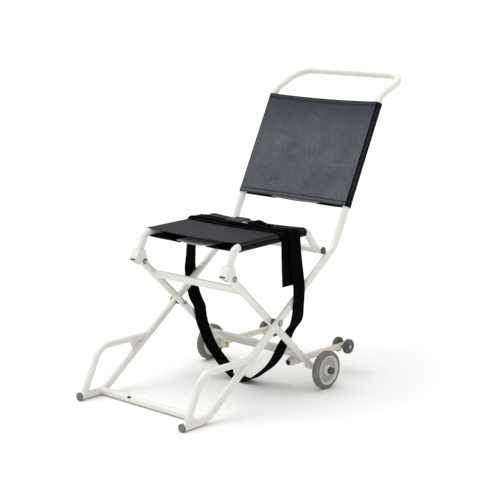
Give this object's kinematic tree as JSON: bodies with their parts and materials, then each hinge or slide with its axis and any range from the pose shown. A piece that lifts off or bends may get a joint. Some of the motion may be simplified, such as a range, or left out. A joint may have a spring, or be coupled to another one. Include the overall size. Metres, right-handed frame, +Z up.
{
  "type": "stair chair",
  "caption": "Folding tubular stair chair: scissor frame with sling seat and backrest, rear wheels, slide-out trolley arms with small wheels, push handle and a buckled belt.",
  "frame": {"origin": "middle of the footprint on the floor, under the chair", "axes": "+X is the sitter's left, -Y is the way the sitter faces, +Z is up"},
  "size_m": [0.52, 0.9907, 0.9084],
  "materials": {
    "frame_white": "warm white powder coat",
    "arm_cream": "cream powder coat",
    "vinyl_navy": "navy slate vinyl-coated fabric",
    "panel_tan": "plain tan cloth",
    "webbing_black": "woven black webbing",
    "tyre_grey": "matt grey rubber",
    "cap_grey": "moulded grey plastic",
    "hub_grey": "moulded light grey plastic",
    "steel": "bright zinc-plated steel",
    "brass": "turned brass",
    "buckle_black": "moulded black plastic"
  },
  "bodies": {
    "long_frame": {"long_tube_left": "frame_white", "long_tube_right": "frame_white", "foot_loop_left": "frame_white", "foot_loop_right": "frame_white", "foot_cap_left": "cap_grey", "foot_cap_right": "cap_grey", "pivot_bolt_left": "steel", "pivot_bolt_right": "steel", "pivot_nut_left": "steel", "pivot_nut_right": "steel", "pivot_washer_left": "cap_grey", "pivot_washer_right": "cap_grey", "push_handle": "frame_white", "foot_crossbar": "frame_white", "backrest_sling": "vinyl_navy", "backrest_panel": "panel_tan"},
    "wheel_frame": {"rear_leg_left": "frame_white", "rear_leg_right": "frame_white", "axle_left": "steel", "axle_right": "steel", "axle_spacer_left": "frame_white", "axle_spacer_right": "frame_white", "axle_cap_left": "cap_grey", "axle_cap_right": "cap_grey", "arm_sleeve_left": "frame_white", "arm_sleeve_right": "frame_white", "front_crossbar": "frame_white", "rear_crossbar": "frame_white", "stay_rod": "frame_white"},
    "seat": {"seat_rail_left": "frame_white", "seat_rail_right": "frame_white", "rear_bar_cap_left": "cap_grey", "rear_bar_cap_right": "cap_grey", "seat_bracket_left": "frame_white", "seat_bracket_right": "frame_white", "seat_bolt_left": "steel", "seat_bolt_right": "steel", "seat_rear_bar": "frame_white", "seat_sling": "vinyl_navy", "seat_panel": "panel_tan", "belt_lap": "webbing_black", "belt_loop": "webbing_black", "belt_tail": "webbing_black", "buckle_frame": "buckle_black", "buckle_tongue": "steel"},
    "buckle_button": {"buckle_button": "cap_grey"},
    "main_wheel_left": {"main_tyre_left": "tyre_grey", "main_hub_left": "hub_grey"},
    "arm_left": {"trolley_arm_left": "arm_cream", "small_axle_left": "steel"},
    "small_wheel_inner_left": {"small_wheel_inner_left": "tyre_grey"},
    "small_wheel_outer_left": {"small_wheel_outer_left": "tyre_grey"},
    "plunger_left": {"lock_plunger_left": "brass"},
    "main_wheel_right": {"main_tyre_right": "tyre_grey", "main_hub_right": "hub_grey"},
    "arm_right": {"trolley_arm_right": "arm_cream", "small_axle_right": "steel"},
    "small_wheel_inner_right": {"small_wheel_inner_right": "tyre_grey"},
    "small_wheel_outer_right": {"small_wheel_outer_right": "tyre_grey"},
    "plunger_right": {"lock_plunger_right": "brass"}
  },
  "joints": [
    {"name": "fold", "type": "hinge", "parent": "long_frame", "child": "wheel_frame", "pos_m": [0, -0.1035, 0.229], "axis": [1, 0, 0], "range_deg": [0, 73], "deforming": ["belt_loop", "belt_tail"]},
    {"name": "seat_swing", "type": "hinge", "parent": "wheel_frame", "child": "seat", "pos_m": [0, -0.2695, 0.3801], "axis": [1, 0, 0], "range_deg": [-40.7, 0], "deforming": ["belt_loop", "belt_tail"]},
    {"name": "main_wheel_spin_left", "type": "hinge", "parent": "wheel_frame", "child": "main_wheel_left", "pos_m": [0.234, 0.0855, 0.057], "axis": [1, 0, 0], "continuous": true},
    {"name": "arm_slide_left", "type": "slide", "parent": "wheel_frame", "child": "arm_left", "axis": [0, -1, 0], "range_m": [0, 0.12]},
    {"name": "small_wheel_spin_inner_left", "type": "hinge", "parent": "arm_left", "child": "small_wheel_inner_left", "pos_m": [0.13, 0.2745, 0.078], "axis": [1, 0, 0], "continuous": true},
    {"name": "small_wheel_spin_outer_left", "type": "hinge", "parent": "arm_left", "child": "small_wheel_outer_left", "pos_m": [0.17, 0.2745, 0.078], "axis": [1, 0, 0], "continuous": true},
    {"name": "plunger_pull_left", "type": "slide", "parent": "wheel_frame", "child": "plunger_left", "axis": [-1, 0, 0], "range_m": [0, 0.006], "stiffness_N_per_m": 800, "springref_m": -0.004},
    {"name": "main_wheel_spin_right", "type": "hinge", "parent": "wheel_frame", "child": "main_wheel_right", "pos_m": [-0.234, 0.0855, 0.057], "axis": [1, 0, 0], "continuous": true},
    {"name": "arm_slide_right", "type": "slide", "parent": "wheel_frame", "child": "arm_right", "axis": [0, -1, 0], "range_m": [0, 0.12]},
    {"name": "small_wheel_spin_inner_right", "type": "hinge", "parent": "arm_right", "child": "small_wheel_inner_right", "pos_m": [-0.13, 0.2745, 0.078], "axis": [1, 0, 0], "continuous": true},
    {"name": "small_wheel_spin_outer_right", "type": "hinge", "parent": "arm_right", "child": "small_wheel_outer_right", "pos_m": [-0.17, 0.2745, 0.078], "axis": [1, 0, 0], "continuous": true},
    {"name": "plunger_pull_right", "type": "slide", "parent": "wheel_frame", "child": "plunger_right", "axis": [1, 0, 0], "range_m": [0, 0.006], "stiffness_N_per_m": 800, "springref_m": -0.004},
    {"name": "button_press", "type": "slide", "parent": "seat", "child": "buckle_button", "axis": [0, 0, -1], "range_m": [0, 0.003], "stiffness_N_per_m": 400, "springref_m": -0.003}
  ],
  "couplings": [
    {"joint": "seat_swing", "follows": "fold", "ratio": -0.555}
  ]
}
